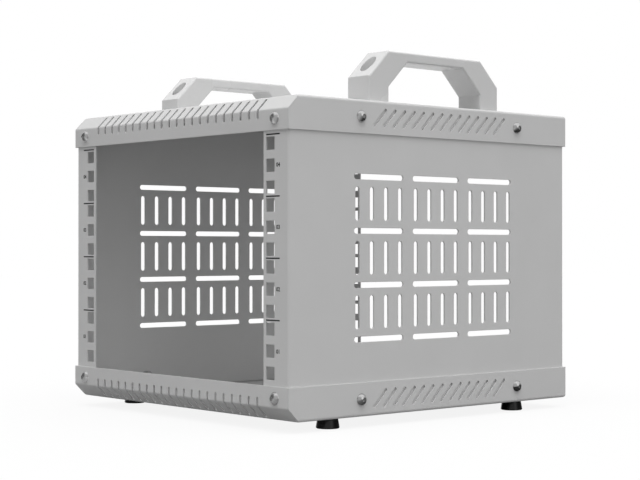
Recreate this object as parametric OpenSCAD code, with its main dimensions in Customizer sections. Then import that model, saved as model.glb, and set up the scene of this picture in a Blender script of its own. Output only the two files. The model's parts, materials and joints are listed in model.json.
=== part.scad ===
// Open-frame rack for ten inch equipment, standing on a bench.
// Two folded covers and two C-folded side panels are screwed together at their flanges.
// Millimetres. +Z is up and the open front faces -Y.
// The origin is on the floor, under the middle of the frame.

/* [Rack standard] */
// Height of the bay, in rack units
rack_units = 4; // [2:1:8]
// Height of one rack unit
unit_h = 44.45; // [42:0.05:48]
// Clear width between the rails
bay_w = 221; // [214:0.25:226]
// Distance between the two columns of square holes
hole_columns = 236.525; // [234:0.005:240]
// Side of a square hole
hole_side = 9.5; // [8:0.1:10]
// Distance from a unit's edge to the middle of its first hole
hole_edge = 6.35; // [5.5:0.05:8]

/* [Frame] */
// Width across the covers
frame_w = 280; // [276:1:320]
// Depth across the covers
frame_d = 300; // [270:1:450]
// Thickness of the steel sheet
sheet = 1.2; // [1:0.1:2]
// Inside radius of every fold
fold_r = 1; // [0.5:0.1:1.5]
// Height from the bay's outermost unit line to a cover's edge
bay_margin = 2.7; // [1:0.1:6]
// Play between a panel's cut edges and the covers
edge_play = 0.3; // [0.1:0.1:0.6]
// Distance by which vents, slanted slots and handles sit in front of the middle
forward_shift = 1.2; // [0:0.1:5]

/* [Covers] */
// Height of a cover's flanges
flange_h = 25.2; // [22:0.1:32]
// Length that the front chamfer takes off the top and off the front
chamfer = 10; // [7:0.5:11]
// Width of a front slot
front_slot_w = 2.5; // [1.5:0.1:4]
// Distance between front slots
front_slot_pitch = 10; // [8:0.5:16]
// Height from the front flange's edge to the slots
front_slot_rise = 8.8; // [8:0.1:11]
// Plain strip between the slots and the chamfer's far edge
front_slot_land = 1.9; // [1.5:0.1:4]
// Width of a slanted slot in the side flanges
side_slot_w = 2.4; // [1.5:0.1:4]
// Distance between slanted slots
side_slot_pitch = 10; // [8:0.5:16]
// Rise of a slanted slot between the middles of its ends
side_slot_rise = 11.5; // [8:0.5:13]
// Distance from a side screw to the middle of the nearest slanted slot
side_slot_margin = 20; // [16:0.5:30]

/* [Panel vents] */
// Width of every vent slot
vent_w = 4.2; // [2:0.1:6]
// Length of an upright vent slot
vent_l = 25; // [15:0.5:28]
// Length of a level vent slot
vent_bar_l = 50; // [45:0.5:54]
// Upright slots in a group
vent_cols = 4; // [2:1:4]
// Distance between upright slots
vent_col_pitch = 14.5; // [10:0.5:15]
// Distance between groups along the depth
vent_group_pitch = 60; // [58:1:80]
// Distance between rows
vent_row_pitch = 40; // [38:1:50]
// Depth kept plain at the front and at the rear of a panel
vent_margin = 50; // [35:1:60]

/* [Cover screws] */
// Thread diameter
screw_d = 5; // [4:0.5:5]
// Length under the head
screw_l = 8; // [8:1:12]
// Diameter of the button head
screw_head_d = 9.5; // [7.5:0.1:10]
// Height of the button head
screw_head_h = 3.4; // [2.5:0.1:4]
// Width across the flats of the hexagon socket
screw_key = 3; // [2:0.5:3.5]
// Distance from the side of the frame to a front or rear screw
front_screw_inset = 15.5; // [12:0.5:17]
// Height from a cover's edge to a front or rear screw
front_screw_rise = 8.5; // [7:0.1:9]
// Distance between the two screws of a side flange
side_screw_span = 170; // [150:1:220]
// Diameter of a clinch nut's body
nut_d = 9.5; // [9:0.1:11]
// Height of a clinch nut's body
nut_h = 4; // [3:0.1:4.5]
// Diameter of a clinch nut's spigot
nut_spigot_d = 6.4; // [6.2:0.1:7]

/* [Handles] */
// Distance between a handle's two screws
handle_span = 120; // [100:1:160]
// Depth of a handle's leg
handle_leg = 20.5; // [16:0.5:24]
// Width of a handle
handle_w = 24.5; // [18:0.5:30]
// Height of a handle
handle_h = 39.3; // [36:0.1:60]
// Thickness of the grip bar
handle_bar = 7.8; // [6:0.1:12]
// Length that a shoulder's slope takes off the outside of a handle
handle_shoulder = 20; // [16:0.5:24]
// Length that the slope takes off the corners of the finger gap
handle_corner = 19.5; // [12:0.5:22]
// Radius of a handle's edges
handle_edge_r = 1.5; // [1:0.1:2.5]
// Distance from the side of the frame to a handle's middle
handle_inset = 18.5; // [16:0.5:40]
// Thread diameter of a handle screw
grip_screw_d = 6; // [5:0.5:6]
// Diameter of a handle screw's head
grip_head_d = 10; // [8.5:0.1:10.5]
// Height of a handle screw's head
grip_head_h = 6; // [5:0.1:7]
// Width across the flats of a handle screw's socket
grip_key = 5; // [3:0.5:6]
// Diameter of the counterbore in a leg
counterbore_d = 11.8; // [10.8:0.1:12.5]
// Height of the counterbore's seat above the cover
counterbore_seat = 8; // [5:0.5:10]
// Width across the flats of a handle nut
grip_nut_key = 10; // [9:0.1:11]
// Height of a handle nut
grip_nut_h = 6; // [4:0.1:8]
// Diameter of a handle nut's flange
grip_nut_flange_d = 14; // [12:0.1:16]

/* [Feet] */
// Height of a foot
foot_h = 8; // [7:0.5:20]
// Diameter of a foot on the floor
foot_d = 17.5; // [15:0.5:25]
// Diameter of a foot at the tray
foot_top_d = 15; // [13:0.5:25]
// Distance from the side of the frame to a foot's middle
foot_inset_x = 15; // [13:0.5:40]
// Distance from the front or the rear of the frame to a foot's middle
foot_inset_y = 50; // [20:1:80]
// Diameter of the pocket for the screw head
foot_pocket_d = 10; // [9.5:0.1:11]
// Thickness of rubber above the pocket
foot_web = 3; // [2:0.1:3]
// Thread diameter of a foot screw
foot_screw_d = 4; // [3:0.5:4]
// Diameter of a foot screw's head
foot_head_d = 7.6; // [5.5:0.1:8]
// Height of a foot screw's head
foot_head_h = 2.2; // [1.6:0.1:2.4]
// Width across the flats of a foot screw's socket
foot_key = 2.5; // [2:0.5:2.5]
// Diameter of a foot washer
washer_d = 9; // [8:0.1:9.4]
// Thickness of a foot washer
washer_t = 0.8; // [0.5:0.1:1]
// Width across the flats of a foot nut
foot_nut_key = 7; // [6:0.1:8]
// Height of a foot nut
foot_nut_h = 3.2; // [2.4:0.1:4]

/* [Hidden] */

$fn = 64;
// Flats that round each edge of a handle
edge_flats = 4;
// Length by which a cutting shape runs past a face
over = 1;
// Gap round a thread, and the wider gap round a screw in a clearance hole
thread_play = 0.05;
hole_play = 0.3;
// Thread left standing past a nut
thread_end = 1;
// Bevel along a foot's lower edge
foot_bevel = 0.6;
// Depth of a socket as a share of its head
socket_share = 0.6;

both = [-1, 1];
// Setback per length at a fold of 45 degrees
setback = tan(22.5);
slope = [cos(45), sin(45)];

bay_h = rack_units * unit_h;
body_h = bay_h + 2 * (bay_margin + flange_h);
mid_z = foot_h + body_h / 2;
cover_edge_z = body_h / 2 - flange_h;
// Middle of the flat top behind the chamfer, and the middle of the handles and of the slanted slots
flat_mid = chamfer / 2;
handle_mid = flat_mid - forward_shift;

panel_x = frame_w / 2 - sheet;
panel_d = frame_d - 2 * sheet;
panel_half = body_h / 2 - sheet - fold_r - edge_play;
rail_half = body_h / 2 - chamfer - (sheet + fold_r) * setback - edge_play;

front_screw_x = frame_w / 2 - front_screw_inset;
front_screw_z = cover_edge_z + front_screw_rise;
side_screw_z = body_h / 2 - flange_h / 2;
hole_pitch = (unit_h - 2 * hole_edge) / 2;

front_slots = floor(bay_w / front_slot_pitch);
side_slots = floor((side_screw_span - 2 * side_slot_margin) / side_slot_pitch) + 1;
vent_bars = floor(bay_h / vent_row_pitch);
vent_groups = floor((frame_d - 2 * vent_margin) / vent_group_pitch);

handle_l = handle_span + handle_leg;
handle_x = frame_w / 2 - handle_inset;
foot_x = frame_w / 2 - foot_inset_x;
foot_y = frame_d / 2 - foot_inset_y;
foot_pocket = foot_h - foot_web;
washer_z = foot_pocket - washer_t;
foot_screw_l = washer_t + foot_web + sheet + foot_nut_h + thread_end;
grip_screw_l = counterbore_seat + sheet + grip_nut_h + thread_end;

coat = [0.70, 0.70, 0.70];
plating = [0.60, 0.60, 0.62];
rubber = [0.06, 0.06, 0.06];

// Places of copies along a line, evenly spaced about zero
function spread(count, pitch) = [for (i = [0:count - 1]) (i - (count - 1) / 2) * pitch];

// Slot along x with round ends
module slot(length, width) {
    square([length - width, width], center = true);
    for (s = both)
        translate([s * (length - width) / 2, 0])
            circle(d = width);
}

// Raises what is drawn about the middle of the bay to its height above the floor
module at_bay() {
    translate([0, 0, mid_z])
        children();
}

// Places of the fasteners: local +z points out of the cover's flange
module at_front_screws() {
    for (x = both, z = both)
        translate([x * front_screw_x, -frame_d / 2, z * front_screw_z])
            rotate([90, 0, 0])
                children();
}

module at_rear_screws() {
    for (x = both, z = both)
        translate([x * front_screw_x, frame_d / 2, z * front_screw_z])
            rotate([-90, 0, 0])
                children();
}

module at_side_screws(side) {
    for (y = both, z = both)
        translate([side * frame_w / 2, flat_mid + y * side_screw_span / 2, z * side_screw_z])
            rotate([0, side * 90, 0])
                children();
}

module at_handle_screws(side) {
    for (y = both)
        translate([side * handle_x, handle_mid + y * handle_span / 2, body_h / 2])
            children();
}

module at_feet() {
    for (x = both, y = both)
        translate([x * foot_x, y * foot_y, 0])
            children();
}

// Cover outline across the frame, from its flange edges up to zero at the top
module cover_across(inset) {
    half = frame_w / 2 - inset;
    drop = flange_h + sign(inset) * over;
    r = fold_r + sheet - inset;
    translate([-half, -drop])
        square([2 * half, drop - inset - r]);
    translate([r - half, -drop])
        square([2 * (half - r), drop - inset]);
    for (s = both)
        translate([s * (half - r), -inset - r])
            circle(r);
}

// Cover outline along the frame, with the chamfer at the front and every fold rounded
module cover_along(inset) {
    front = inset - frame_d / 2;
    rear = frame_d / 2 - inset;
    drop = flange_h + sign(inset) * over;
    r = fold_r + sheet - inset;
    ease = r * setback;
    low = [front, -chamfer - inset * setback];
    high = [chamfer - frame_d / 2 + inset * setback, -inset];
    low_fold = low + [r, -ease];
    high_fold = high + [ease, -r];
    rear_fold = [rear - r, -inset - r];
    polygon([
        [front, -drop], [rear, -drop], [rear, -inset - r], rear_fold, [rear - r, -inset],
        high + [ease, 0], high_fold, high - ease * slope,
        low + ease * slope, low_fold, low - [0, ease]
    ]);
    for (p = [low_fold, high_fold, rear_fold])
        translate(p)
            circle(r);
}

module cover_form(inset) {
    intersection() {
        rotate([90, 0, 0])
            linear_extrude(frame_d + 2 * over, center = true)
                cover_across(inset);
        rotate([90, 0, 90])
            linear_extrude(frame_w + 2 * over, center = true)
                cover_along(inset);
    }
}

// Slots that start on the front flange and run over the fold, up the chamfer
module front_slot_cuts() {
    low = front_slot_rise - flange_h;
    high = front_slot_w / 2 - chamfer;
    climb = chamfer / slope.x - front_slot_land;
    translate([0, -frame_d / 2, 0])
        rotate([90, 0, 0])
            linear_extrude(2 * (sheet + over), center = true)
                for (x = spread(front_slots, front_slot_pitch))
                    translate([x, (low + high) / 2])
                        rotate(90)
                            slot(high - low, front_slot_w);
    translate([0, -frame_d / 2, -chamfer])
        rotate([45, 0, 0])
            linear_extrude(2 * (sheet + over), center = true)
                for (x = spread(front_slots, front_slot_pitch))
                    translate([x, (climb - front_slot_w / 2) / 2])
                        rotate(90)
                            slot(climb + front_slot_w / 2, front_slot_w);
}

// Slanted slots of one side flange: they rise to the right, seen from that side
module side_slot_cuts(side) {
    translate([side * frame_w / 2, handle_mid, -flange_h / 2])
        rotate([90, 0, 90])
            linear_extrude(2 * (sheet + over), center = true)
                for (y = spread(side_slots, side_slot_pitch))
                    translate([y, 0])
                        rotate(side * 45)
                            slot(side_slot_rise / slope.y + side_slot_w, side_slot_w);
}

module screw_clearance(d) {
    cylinder(d = d + 2 * hole_play, h = 2 * (sheet + over), center = true);
}

// Cover with its top at zero; children are cut away as well
module cover() {
    difference() {
        cover_form(0);
        cover_form(sheet);
        front_slot_cuts();
        for (side = both)
            side_slot_cuts(side);
        translate([0, 0, -body_h / 2]) {
            at_front_screws() screw_clearance(screw_d);
            at_rear_screws() screw_clearance(screw_d);
            for (side = both)
                at_side_screws(side) screw_clearance(screw_d);
        }
        children();
    }
}

// Section of the right panel: wall, two folds and two rails, open towards the bay
module panel_outline(inset) {
    left = bay_w / 2 - sign(inset) * over;
    right = panel_x - inset;
    half = panel_d / 2 - inset;
    r = fold_r + sheet - inset;
    translate([left, -half])
        square([right - r - left, 2 * half]);
    translate([left, r - half])
        square([right - left, 2 * (half - r)]);
    for (s = both)
        translate([right - r, s * (half - r)])
            circle(r);
}

// Side view of a panel: the front corners step back from the covers' chamfer
module panel_trim() {
    front = -panel_d / 2;
    step = front + sheet + fold_r;
    top = step + panel_half - rail_half;
    rear = panel_d / 2 + over;
    polygon([
        [front - over, -rail_half], [step, -rail_half], [top, -panel_half], [rear, -panel_half],
        [rear, panel_half], [top, panel_half], [step, rail_half], [front - over, rail_half]
    ]);
}

module vents() {
    for (g = spread(vent_groups, vent_group_pitch)) {
        y = g - forward_shift;
        for (z = spread(vent_bars, vent_row_pitch))
            translate([y, z])
                slot(vent_bar_l, vent_w);
        for (z = spread(vent_bars - 1, vent_row_pitch), c = spread(vent_cols, vent_col_pitch))
            translate([y + c, z])
                rotate(90)
                    slot(vent_l, vent_w);
    }
}

// Square holes of one column, three to a unit
module rail_holes() {
    for (u = spread(rack_units, unit_h), h = spread(3, hole_pitch))
        translate([hole_columns / 2, u + h])
            square(hole_side, center = true);
}

module spigot_hole() {
    translate([0, 0, -sheet])
        cylinder(d = nut_spigot_d + 2 * thread_play, h = 2 * (sheet + over), center = true);
}

// Right panel about the middle of the bay
module panel() {
    difference() {
        intersection() {
            linear_extrude(2 * panel_half, center = true)
                difference() {
                    panel_outline(0);
                    panel_outline(sheet);
                }
            rotate([90, 0, 90])
                linear_extrude(frame_w)
                    panel_trim();
        }
        rotate([90, 0, 90])
            translate([0, 0, panel_x - sheet - over])
                linear_extrude(sheet + 2 * over)
                    vents();
        rotate([90, 0, 0])
            linear_extrude(frame_d, center = true)
                rail_holes();
        at_front_screws() spigot_hole();
        at_rear_screws() spigot_hole();
        at_side_screws(1) spigot_hole();
    }
}

// Domed head with a hexagon socket on a plain shank; the head's seat is at zero
module button_screw(d, length, head_d, head_h, key) {
    dome_r = (head_d * head_d / 4 + head_h * head_h) / (2 * head_h);
    difference() {
        union() {
            intersection() {
                translate([0, 0, head_h - dome_r])
                    sphere(dome_r);
                cylinder(d = head_d, h = head_h);
            }
            translate([0, 0, -length])
                cylinder(d = d, h = length + over);
        }
        translate([0, 0, head_h * (1 - socket_share)])
            cylinder(d = key / cos(30), h = head_h, $fn = 6);
    }
}

// Cap head with a hexagon socket on a plain shank; the head's seat is at zero
module cap_screw(d, length, head_d, head_h, key) {
    difference() {
        union() {
            cylinder(d = head_d, h = head_h);
            translate([0, 0, -length])
                cylinder(d = d, h = length + over);
        }
        translate([0, 0, head_h * (1 - socket_share)])
            cylinder(d = key / cos(30), h = head_h, $fn = 6);
    }
}

// Clinch nut behind the panel, with its spigot in the sheet; zero is the cover's outer face
module clinch_nut() {
    difference() {
        union() {
            translate([0, 0, -2 * sheet - nut_h])
                cylinder(d = nut_d, h = nut_h);
            translate([0, 0, -2 * sheet - nut_h])
                cylinder(d = nut_spigot_d, h = nut_h + sheet - thread_play);
        }
        translate([0, 0, -2 * sheet - nut_h - over])
            cylinder(d = screw_d + 2 * thread_play, h = nut_h + sheet + 2 * over);
    }
}

module cover_screw() {
    button_screw(screw_d, screw_l, screw_head_d, screw_head_h, screw_key);
}

// Side view of a handle drawn in by an inset, counter-clockwise; its feet stay on zero
function handle_loop(inset) =
    let (
        k = inset * setback,
        half = handle_l / 2,
        gap_half = half - handle_leg,
        gap_h = handle_h - handle_bar,
        right = [
            [half - inset, 0],
            [half - inset, handle_h - handle_shoulder - k],
            [half - handle_shoulder - k, handle_h - inset],
            [gap_half - handle_corner + k, gap_h + inset],
            [gap_half + inset, gap_h - handle_corner + k],
            [gap_half + inset, 0]
        ],
        left = [for (p = right) [-p.x, p.y]]
    )
    [
        for (i = [0, 1, 2]) right[i],
        for (i = [2, 1, 0, 5, 4, 3]) left[i],
        for (i = [3, 4, 5]) right[i]
    ];

// Bridge handle's outer form: side views stand along x, drawn in towards both sides for round edges
module handle_form() {
    flat = handle_w / 2 - handle_edge_r;
    turns = [for (i = [0:edge_flats]) i * 90 / edge_flats];
    stations = concat(
        [for (a = turns) [-flat - handle_edge_r * cos(a), handle_edge_r * (1 - sin(a))]],
        [for (a = turns) [flat + handle_edge_r * sin(a), handle_edge_r * (1 - cos(a))]]
    );
    loops = [for (s = stations) [for (p = handle_loop(s[1])) [s[0], p.x, p.y]]];
    count = len(loops[0]);
    last = count * (len(loops) - 1);
    end = [for (i = [0:count / 2 - 2]) [i, i + 1, count - 2 - i, count - 1 - i]];
    polyhedron(
        [for (loop = loops, p = loop) p],
        concat(
            end,
            [for (j = [0:count:last - count], i = [0:count - 1])
                let (n = (i + 1) % count)
                [j + i, j + count + i, j + count + n, j + n]],
            [for (f = end) [for (i = [3:-1:0]) last + f[i]]]
        )
    );
}

// Bridge handle standing on zero, with its two counterbored screw holes
module handle() {
    difference() {
        handle_form();
        for (y = both)
            translate([0, y * handle_span / 2, 0]) {
                translate([0, 0, counterbore_seat])
                    cylinder(d = counterbore_d, h = handle_h);
                cylinder(d = grip_screw_d + 2 * hole_play, h = 2 * handle_h, center = true);
            }
    }
}

module place_handle(side) {
    translate([side * handle_x, handle_mid, body_h / 2])
        handle();
}

module handle_screws(side) {
    at_handle_screws(side)
        translate([0, 0, counterbore_seat])
            cap_screw(grip_screw_d, grip_screw_l, grip_head_d, grip_head_h, grip_key);
}

// Flange nuts against the underside of the top cover
module handle_nuts(side) {
    flange_t = grip_nut_h / 4;
    at_handle_screws(side)
        translate([0, 0, -sheet - grip_nut_h])
            difference() {
                union() {
                    cylinder(d = grip_nut_key / cos(30), h = grip_nut_h, $fn = 6);
                    translate([0, 0, grip_nut_h - flange_t])
                        cylinder(d = grip_nut_flange_d, h = flange_t);
                }
                translate([0, 0, -over])
                    cylinder(d = grip_screw_d + 2 * thread_play, h = grip_nut_h + 2 * over);
            }
}

// Rubber foot with a pocket for the screw head, wider on the floor than at the tray
module foot(x, y) {
    bore_r = foot_screw_d / 2 + hole_play;
    translate([x * foot_x, y * foot_y, 0])
        rotate_extrude()
            polygon([
                [foot_pocket_d / 2, 0], [foot_d / 2 - foot_bevel, 0], [foot_d / 2, foot_bevel],
                [foot_top_d / 2, foot_h], [bore_r, foot_h], [bore_r, foot_pocket],
                [foot_pocket_d / 2, foot_pocket]
            ]);
}

module top_cover() {
    color(coat)
        at_bay()
            translate([0, 0, body_h / 2])
                cover()
                    for (side = both)
                        translate([0, 0, -body_h / 2])
                            at_handle_screws(side) screw_clearance(grip_screw_d);
}

// The same fold turned over, with holes for the feet
module bottom_tray() {
    color(coat)
        at_bay()
            translate([0, 0, -body_h / 2])
                rotate([0, 180, 0])
                    cover()
                        at_feet() screw_clearance(foot_screw_d);
}

module right_side_panel() {
    color(coat)
        at_bay()
            panel();
}

module left_side_panel() {
    color(coat)
        at_bay()
            mirror([1, 0, 0])
                panel();
}

module left_handle() {
    color(coat)
        at_bay()
            place_handle(-1);
}

module right_handle() {
    color(coat)
        at_bay()
            place_handle(1);
}

module front_left_foot() {
    color(rubber)
        foot(-1, -1);
}

module front_right_foot() {
    color(rubber)
        foot(1, -1);
}

module rear_left_foot() {
    color(rubber)
        foot(-1, 1);
}

module rear_right_foot() {
    color(rubber)
        foot(1, 1);
}

module front_screws() {
    color(plating)
        at_bay()
            at_front_screws() cover_screw();
}

module rear_screws() {
    color(plating)
        at_bay()
            at_rear_screws() cover_screw();
}

module left_side_screws() {
    color(plating)
        at_bay()
            at_side_screws(-1) cover_screw();
}

module right_side_screws() {
    color(plating)
        at_bay()
            at_side_screws(1) cover_screw();
}

module front_nuts() {
    color(plating)
        at_bay()
            at_front_screws() clinch_nut();
}

module rear_nuts() {
    color(plating)
        at_bay()
            at_rear_screws() clinch_nut();
}

module left_side_nuts() {
    color(plating)
        at_bay()
            at_side_screws(-1) clinch_nut();
}

module right_side_nuts() {
    color(plating)
        at_bay()
            at_side_screws(1) clinch_nut();
}

module left_handle_screws() {
    color(plating)
        at_bay()
            handle_screws(-1);
}

module right_handle_screws() {
    color(plating)
        at_bay()
            handle_screws(1);
}

module left_handle_nuts() {
    color(plating)
        at_bay()
            handle_nuts(-1);
}

module right_handle_nuts() {
    color(plating)
        at_bay()
            handle_nuts(1);
}

// Button screws driven from below, with their heads up inside the feet
module foot_screws() {
    color(plating)
        at_feet()
            translate([0, 0, washer_z])
                rotate([180, 0, 0])
                    button_screw(foot_screw_d, foot_screw_l, foot_head_d, foot_head_h, foot_key);
}

module foot_washers() {
    color(plating)
        at_feet()
            translate([0, 0, washer_z])
                difference() {
                    cylinder(d = washer_d, h = washer_t);
                    translate([0, 0, -over])
                        cylinder(d = foot_screw_d + 2 * hole_play, h = washer_t + 2 * over);
                }
}

module foot_nuts() {
    color(plating)
        at_feet()
            translate([0, 0, foot_h + sheet])
                difference() {
                    cylinder(d = foot_nut_key / cos(30), h = foot_nut_h, $fn = 6);
                    translate([0, 0, -over])
                        cylinder(d = foot_screw_d + 2 * thread_play, h = foot_nut_h + 2 * over);
                }
}

top_cover();
bottom_tray();
left_side_panel();
right_side_panel();
left_handle();
right_handle();
front_left_foot();
front_right_foot();
rear_left_foot();
rear_right_foot();
front_screws();
rear_screws();
left_side_screws();
right_side_screws();
front_nuts();
rear_nuts();
left_side_nuts();
right_side_nuts();
left_handle_screws();
right_handle_screws();
left_handle_nuts();
right_handle_nuts();
foot_screws();
foot_washers();
foot_nuts();
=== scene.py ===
"""Finishes, rail print and studio for the open-frame rack."""

import json
import math

import bmesh
import bpy
from mathutils import Matrix, Vector


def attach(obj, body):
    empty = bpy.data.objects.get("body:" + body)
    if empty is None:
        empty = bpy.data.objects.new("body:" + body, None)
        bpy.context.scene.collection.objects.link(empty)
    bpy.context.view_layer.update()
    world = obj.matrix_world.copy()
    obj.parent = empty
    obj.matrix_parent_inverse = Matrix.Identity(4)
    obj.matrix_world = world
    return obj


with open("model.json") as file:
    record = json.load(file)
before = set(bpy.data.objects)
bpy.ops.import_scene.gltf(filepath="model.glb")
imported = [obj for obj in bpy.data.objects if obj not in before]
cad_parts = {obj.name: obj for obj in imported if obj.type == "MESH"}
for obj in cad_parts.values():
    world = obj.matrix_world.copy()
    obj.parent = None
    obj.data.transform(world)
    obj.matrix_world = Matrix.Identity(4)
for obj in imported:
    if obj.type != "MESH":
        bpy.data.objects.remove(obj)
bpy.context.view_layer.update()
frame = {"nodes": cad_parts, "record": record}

MM = 0.001
WHITE = (1.0, 1.0, 1.0, 1.0)

# The photograph's camera, fitted to the unit marks, the square holes and the vents
CAMERA_PLACE = Vector((0.9830, -0.8527, 0.1323))
CAMERA_YAW = math.radians(49.023)
CAMERA_PITCH = math.radians(0.286)
SENSOR_W = 36.0
LENS = 87.44

# Print on the front rails. It takes its step from the rack standard and its place from a rail's mount
UNITS = 4
UNIT_H = 44.45 * MM
INK_T = 0.04 * MM
MARK_X = 121.2 * MM
MARK_L = 15.4 * MM
MARK_H = 1.0 * MM
NUMBER_X = 127.1 * MM
NUMBER_SIZE = 4.2 * MM
NUMBER_WEIGHT = 0.12 * MM

# Noise in the finishes: below LOW it counts as none, above HIGH as full. Scales are to the metre
LOW = 0.3
HIGH = 0.7

# Powder coat: its tone and dullness on the sheets and on the handles, how far the tone sways, what
# sways it, and the soft edge that the coat builds on every cut and fold
COAT = 0.606
COAT_ROUGH = 0.50
HANDLE_COAT = 0.661
HANDLE_ROUGH = 0.20
COAT_SWAY = 0.03
CLOUD_SCALE = 18.0
CLOUD_SHARE = 0.5
CLOUD_ROUGH = 0.12
SPECK_SCALE = 5200.0
SPECK_SHARE = 0.3
PEBBLE_SCALE = 1400.0
PEBBLE_SHARE = 0.2
PEBBLE_DEPTH = 0.02 * MM
EDGE_R = 0.6 * MM
EDGE_SAMPLES = 6

# Nickel plating on the fasteners
NICKEL_DIM = 0.58
NICKEL_BRIGHT = 0.66
NICKEL_ROUGH = 0.10
HAZE_SCALE = 900.0
GRAIN_SCALE = 2600.0
GRAIN_ROUGH = 0.1
GRAIN_DEPTH = 0.005 * MM

# Rubber of the feet
RUBBER_DARK = 0.004
RUBBER_PALE = 0.008
RUBBER_ROUGH = 0.12
MOTTLE_SCALE = 420.0
MOTTLE_ROUGH = 0.12
SKIN_SCALE = 2600.0
SKIN_DEPTH = 0.02 * MM

# Ink of the print
INK_FULL = 0.006
INK_THIN = 0.02
INK_ROUGH = 0.55
THIN_SCALE = 2400.0
THIN_ROUGH = 0.1
THIN_START = 0.35
THIN_END = 0.75

# Studio: light from all round, more from behind, and two soft boxes overhead, one towards the right
# and one towards the front, each with its direction and strength
SKY_LOW = 0.42
SKY_REAR = 0.55
SOFT_BOXES = {
    "right": ((0.310, 0.0, 0.951), 3.7),
    "front": ((0.0, -0.391, 0.920), 3.2),
}
BOX_FOCUS = 16

# Floor: half its width, the tone that lights the object from below, the tone that the camera sees,
# and the share of plain white in what the camera sees
FLOOR_HALF = 5.0
FLOOR_BACK = 0.29
FLOOR_WHITE = 0.72
FLOOR_SEEN = 0.88

# Painted reflection: the brightness that shiny faces mirror in place of the studio's light, and the
# height
# that the floor's share of it is seen from. Painted patches in it, three dark and one painted
# highlight:
# each with its direction, the cosines to that direction at which the patch starts and is full, and its
# brightness against the rest
PAINTED_REFLECTION_LEVEL = 0.9
FLOOR_PAINTED_REFLECTION = 0.70
PAINTED_REFLECTION_HEIGHT = 0.12
PAINTED_REFLECTION_PATCHES = {
    "painted dark patch low behind": ((0.455, 0.542, -0.707), -0.1, 0.7, 0.05),
    "painted dark patch on the left": ((-0.618, -0.736, 0.276), 0.56, 0.90, 0.15),
    "painted dim patch on the right": ((0.629, -0.749, 0.208), 0.55, 0.90, 0.55),
    "painted highlight on the right": ((0.950, 0.033, 0.309), 0.93, 0.98, 1.8),
}


class Value:
    """A node socket whose arithmetic adds Math nodes to its graph."""

    def __init__(self, graph, socket):
        self.graph = graph
        self.socket = socket

    def math(self, operation, first, second):
        return self.graph.node("ShaderNodeMath", {"operation": operation}, {0: first, 1: second})

    def __add__(self, other):
        return self.math("ADD", self, other)

    def __radd__(self, other):
        return self.math("ADD", other, self)

    def __sub__(self, other):
        return self.math("SUBTRACT", self, other)

    def __rsub__(self, other):
        return self.math("SUBTRACT", other, self)

    def __mul__(self, other):
        return self.math("MULTIPLY", self, other)

    def __rmul__(self, other):
        return self.math("MULTIPLY", other, self)

    def __pow__(self, other):
        return self.math("POWER", self, other)

    def __rpow__(self, other):
        return self.math("POWER", other, self)

    def at_least(self, other):
        return self.math("MAXIMUM", self, other)


class Graph:
    """A node tree under construction."""

    def __init__(self, tree):
        self.tree = tree
        tree.nodes.clear()

    def node(self, kind, settings=None, inputs=None, output=0):
        """Adds a node, sets its properties, then its sockets, and returns one of its outputs."""
        made = self.tree.nodes.new(kind)
        for name, value in (settings or {}).items():
            if name == "stops":
                self.set_stops(made.color_ramp, value)
            else:
                setattr(made, name, value)
        for name, value in (inputs or {}).items():
            for part in value if isinstance(value, list) else [value]:
                if isinstance(part, Value):
                    self.tree.links.new(part.socket, made.inputs[name])
                else:
                    made.inputs[name].default_value = part
        return Value(self, made.outputs[output]) if made.outputs else made

    def set_stops(self, ramp, stops):
        while len(ramp.elements) < len(stops):
            ramp.elements.new(1.0)
        for element, (place, tone) in zip(ramp.elements, stops):
            element.position = place
            element.color = (tone, tone, tone, 1.0)

    def vector(self, operation, *values, output="Vector"):
        inputs = dict(enumerate(values))
        return self.node("ShaderNodeVectorMath", {"operation": operation}, inputs, output)

    def toward_cosine(self, way, toward):
        return self.vector("DOT_PRODUCT", way, toward, output="Value")


class Finish(Graph):
    """The node tree of a material."""

    def __init__(self, name):
        self.material = bpy.data.materials.new(name)
        self.material.use_nodes = True
        super().__init__(self.material.node_tree)

    def noise(self, scale, detail=2.0):
        place = self.node("ShaderNodeTexCoord", output="Object")
        inputs = {"Vector": place, "Scale": scale, "Detail": detail}
        return self.node("ShaderNodeTexNoise", inputs=inputs, output="Fac")

    def ramp(self, factor, stops):
        return self.node("ShaderNodeValToRGB", {"stops": stops}, {"Fac": factor}, "Color")

    def rounded(self, radius):
        return self.node("ShaderNodeBevel", {"samples": EDGE_SAMPLES}, {"Radius": radius})

    def bump(self, height, distance, normal=None):
        inputs = {"Height": height, "Distance": distance}
        if normal:
            inputs["Normal"] = normal
        return self.node("ShaderNodeBump", inputs=inputs)

    def surface(self, inputs):
        shader = self.node("ShaderNodeBsdfPrincipled", inputs=inputs)
        self.node("ShaderNodeOutputMaterial", inputs={"Surface": shader})
        return self.material


def powder_coat(name, tone, rough):
    """Light grey powder coat: a fine pebbled skin with faint clouds in its tone."""
    coat = Finish(name)
    pebble = coat.noise(PEBBLE_SCALE)
    cloud = coat.noise(CLOUD_SCALE, 3.0)
    speck = coat.noise(SPECK_SCALE, 1.0)
    mixed = cloud * CLOUD_SHARE + speck * SPECK_SHARE + pebble * PEBBLE_SHARE
    return coat.surface({
        "Base Color": coat.ramp(mixed, [(LOW, tone * (1 - COAT_SWAY)), (HIGH, tone * (1 + COAT_SWAY))]),
        "Roughness": rough + cloud * CLOUD_ROUGH,
        "Normal": coat.bump(pebble, PEBBLE_DEPTH, coat.rounded(EDGE_R)),
    })


def nickel(name):
    """Bright plating with a faint unevenness in its polish."""
    plate = Finish(name)
    haze = plate.noise(HAZE_SCALE, 3.0)
    grain = plate.noise(GRAIN_SCALE)
    return plate.surface({
        "Base Color": plate.ramp(haze, [(LOW, NICKEL_DIM), (HIGH, NICKEL_BRIGHT)]),
        "Metallic": 1.0,
        "Roughness": NICKEL_ROUGH + grain * GRAIN_ROUGH,
        "Normal": plate.bump(grain, GRAIN_DEPTH),
    })


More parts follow.
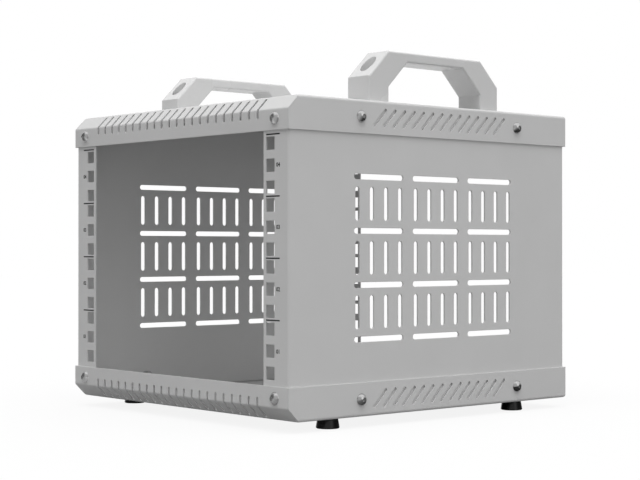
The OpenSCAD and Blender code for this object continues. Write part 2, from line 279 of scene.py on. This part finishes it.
def foot_rubber(name):
    """Black rubber with a slightly mottled moulded skin."""
    rubber = Finish(name)
    mottle = rubber.noise(MOTTLE_SCALE, 3.0)
    skin = rubber.noise(SKIN_SCALE)
    return rubber.surface({
        "Base Color": rubber.ramp(mottle, [(LOW, RUBBER_DARK), (HIGH, RUBBER_PALE)]),
        "Roughness": RUBBER_ROUGH + mottle * MOTTLE_ROUGH,
        "Normal": rubber.bump(skin, SKIN_DEPTH),
    })


def ink(name):
    """Black screen print, a little thin in places."""
    print_ink = Finish(name)
    thin = print_ink.noise(THIN_SCALE)
    return print_ink.surface({
        "Base Color": print_ink.ramp(thin, [(THIN_START, INK_FULL), (THIN_END, INK_THIN)]),
        "Roughness": INK_ROUGH + thin * THIN_ROUGH,
    })


def dress_nodes():
    """Gives every CAD node the finish of its material slot."""
    finishes = {
        "coated_steel": powder_coat("powder_coat", COAT, COAT_ROUGH),
        "handle": powder_coat("handle_coat", HANDLE_COAT, HANDLE_ROUGH),
        "plated_steel": nickel("nickel_plating"),
        "foot_rubber": foot_rubber("foot_rubber"),
    }
    for part in frame["record"]["subparts"]:
        node = frame["nodes"][part["node"]]
        for material_slot in node.material_slots:
            material_slot.material = finishes[part["material_slot"]]


def place_object(name, data):
    made = bpy.data.objects.new(name, data)
    bpy.context.scene.collection.objects.link(made)
    return made


def shown_mesh(holder):
    """The mesh that an object shows, with its modifiers and its text worked out."""
    shown = holder.evaluated_get(bpy.context.evaluated_depsgraph_get())
    return bpy.data.meshes.new_from_object(shown)


def mark_tree(black):
    """Geometry tree of the unit marks: one column of bars on each front rail."""
    tree = bpy.data.node_groups.new("unit_marks", "GeometryNodeTree")
    graph = Graph(tree)
    vector = "NodeSocketVector"
    kinds = {"Units": "NodeSocketInt", "Step": vector, "First": vector, "Size": vector}
    for name, kind in kinds.items():
        tree.interface.new_socket(name, in_out="INPUT", socket_type=kind)
    tree.interface.new_socket("Geometry", in_out="OUTPUT", socket_type="NodeSocketGeometry")
    asked = graph.node("NodeGroupInput").socket.node
    units, step, first, size = (Value(graph, asked.outputs[name]) for name in kinds)
    columns = []
    for start in (first, graph.vector("MULTIPLY", first, (-1.0, 1.0, 1.0))):
        line = {"Count": units, "Start Location": start, "Offset": step}
        columns.append(graph.node("GeometryNodeMeshLine", inputs=line))
    points = graph.node("GeometryNodeJoinGeometry", inputs={0: columns})
    bar = graph.node("GeometryNodeMeshCube", inputs={"Size": size})
    bars = graph.node("GeometryNodeInstanceOnPoints", inputs={"Points": points, "Instance": bar})
    whole = graph.node("GeometryNodeRealizeInstances", inputs={"Geometry": bars})
    inked = graph.node("GeometryNodeSetMaterial", inputs={"Geometry": whole, "Material": black})
    graph.node("NodeGroupOutput", inputs={0: inked})
    return tree


def unit_marks(black, rail):
    """Black marks at the top of every unit, on both front rails."""
    marks = place_object("unit_marks", bpy.data.meshes.new("unit_marks"))
    maker = marks.modifiers.new("unit_marks", "NODES")
    maker.node_group = mark_tree(black)
    asked = {
        "Units": UNITS,
        "Step": (0.0, 0.0, UNIT_H),
        "First": (MARK_X, rail.y - INK_T / 2, rail.z + (1 - UNITS / 2) * UNIT_H),
        "Size": (MARK_L, INK_T, MARK_H),
    }
    for item in maker.node_group.interface.items_tree:
        if item.name in asked:
            maker[item.identifier] = asked[item.name]
    mesh = shown_mesh(marks)
    marks.modifiers.remove(maker)
    marks.data = mesh
    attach(marks, "root")


def unit_numbers(black, rail):
    """Unit numbers beside the middle hole of every unit, on both front rails."""
    upright = Matrix.Rotation(math.radians(90.0), 4, "X")
    joined = bmesh.new()
    for unit in range(UNITS):
        text = bpy.data.curves.new("number", "FONT")
        text.body = f"{unit + 1:02d}"
        text.align_x = "CENTER"
        text.align_y = "CENTER"
        text.size = NUMBER_SIZE
        text.offset = NUMBER_WEIGHT
        text.extrude = INK_T / 2
        holder = place_object("number", text)
        height = rail.z + (unit + 0.5 - UNITS / 2) * UNIT_H
        for side in (-1, 1):
            mesh = shown_mesh(holder)
            place = Matrix.Translation((side * NUMBER_X, rail.y - INK_T / 2, height))
            mesh.transform(place @ upright)
            joined.from_mesh(mesh)
            bpy.data.meshes.remove(mesh)
        bpy.data.objects.remove(holder)
    mesh = bpy.data.meshes.new("unit_numbers")
    joined.to_mesh(mesh)
    joined.free()
    mesh.materials.append(black)
    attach(place_object("unit_numbers", mesh), "root")


def make_camera():
    camera = place_object("camera", bpy.data.cameras.new("camera"))
    ahead = Vector((-math.sin(CAMERA_YAW), math.cos(CAMERA_YAW), math.tan(CAMERA_PITCH)))
    camera.location = CAMERA_PLACE
    camera.rotation_mode = "QUATERNION"
    camera.rotation_quaternion = ahead.to_track_quat("-Z", "Y")
    camera.data.sensor_fit = "HORIZONTAL"
    camera.data.sensor_width = SENSOR_W
    camera.data.lens = LENS
    bpy.context.scene.camera = camera


def painted_reflection(graph, way):
    """Painted reflection: brightness in one direction as only mirror rays see it, with painted dark
    patches and a painted highlight.
    """
    light = PAINTED_REFLECTION_LEVEL
    for toward, start, full, level in PAINTED_REFLECTION_PATCHES.values():
        reach = {
            "Value": graph.toward_cosine(way, toward),
            "From Min": start,
            "From Max": full,
            "To Min": 1.0,
            "To Max": level,
        }
        light = graph.node("ShaderNodeMapRange", {"interpolation_type": "SMOOTHSTEP"}, reach) * light
    return light


def make_floor():
    """Plain paper: near white with a soft shadow to the camera; to mirror rays its colour is a painted
    reflection with painted dark patches.
    """
    half = FLOOR_HALF
    mesh = bpy.data.meshes.new("floor")
    corners = [(-half, -half, 0.0), (half, -half, 0.0), (half, half, 0.0), (-half, half, 0.0)]
    mesh.from_pydata(corners, [], [(0, 1, 2, 3)])
    paper = Finish("floor_paper")
    seen = paper.node("ShaderNodeLightPath", output="Is Camera Ray")
    gloss = paper.node("ShaderNodeLightPath", output="Is Glossy Ray")
    place = paper.node("ShaderNodeTexCoord", output="Object")
    way = paper.vector("NORMALIZE", paper.vector("SUBTRACT", place, (0.0, 0.0, PAINTED_REFLECTION_HEIGHT)))
    # Painted reflection: to mirror rays the floor's colour carries painted dark patches and a painted
    # highlight
    shown = painted_reflection(paper, way) * FLOOR_PAINTED_REFLECTION
    tone = FLOOR_BACK + seen * (FLOOR_WHITE - FLOOR_BACK) + gloss * (shown - FLOOR_BACK)
    matt = {"Base Color": tone, "Roughness": 1.0, "Specular IOR Level": 0.0}
    lit = paper.node("ShaderNodeBsdfPrincipled", inputs=matt)
    glow = paper.node("ShaderNodeEmission", inputs={"Color": WHITE, "Strength": 1.0})
    mixed = paper.node("ShaderNodeMixShader", inputs={0: seen * FLOOR_SEEN, 1: lit, 2: glow})
    paper.node("ShaderNodeOutputMaterial", inputs={"Surface": mixed})
    mesh.materials.append(paper.material)
    place_object("floor", mesh)


def make_world():
    """White behind the object, the studio's light on it, and a painted reflection in what it mirrors.
    """
    world = bpy.data.worlds.new("studio")
    world.use_nodes = True
    bpy.context.scene.world = world
    sky = Graph(world.node_tree)
    way = sky.node("ShaderNodeTexCoord", output="Generated")
    along = sky.node("ShaderNodeSeparateXYZ", inputs={"Vector": way}, output="Y")
    camera = sky.node("ShaderNodeLightPath", output="Is Camera Ray")
    glass = sky.node("ShaderNodeLightPath", output="Is Transmission Ray")
    gloss = sky.node("ShaderNodeLightPath", output="Is Glossy Ray")
    light = SKY_LOW + (along + 1.0) * (SKY_REAR / 2)
    for toward, level in SOFT_BOXES.values():
        light = light + sky.toward_cosine(way, toward).at_least(0.0) ** BOX_FOCUS * level
    # Painted reflection: mirror rays see painted dark patches and a painted highlight in place of the
    # studio's light
    shown = light + gloss * (painted_reflection(sky, way) - light)
    strength = shown + camera.at_least(glass) * (1.0 - shown)
    back = sky.node("ShaderNodeBackground", inputs={"Color": WHITE, "Strength": strength})
    sky.node("ShaderNodeOutputWorld", inputs={"Surface": back})


mounts = {mount["name"]: Vector(mount["pos_m"]) for mount in frame["record"]["mounts"]}
front_rail = mounts["right_front_rail"]
black = ink("print_ink")
make_camera()
dress_nodes()
unit_marks(black, front_rail)
unit_numbers(black, front_rail)
make_floor()
make_world()

bpy.context.scene.view_settings.view_transform = "Standard"
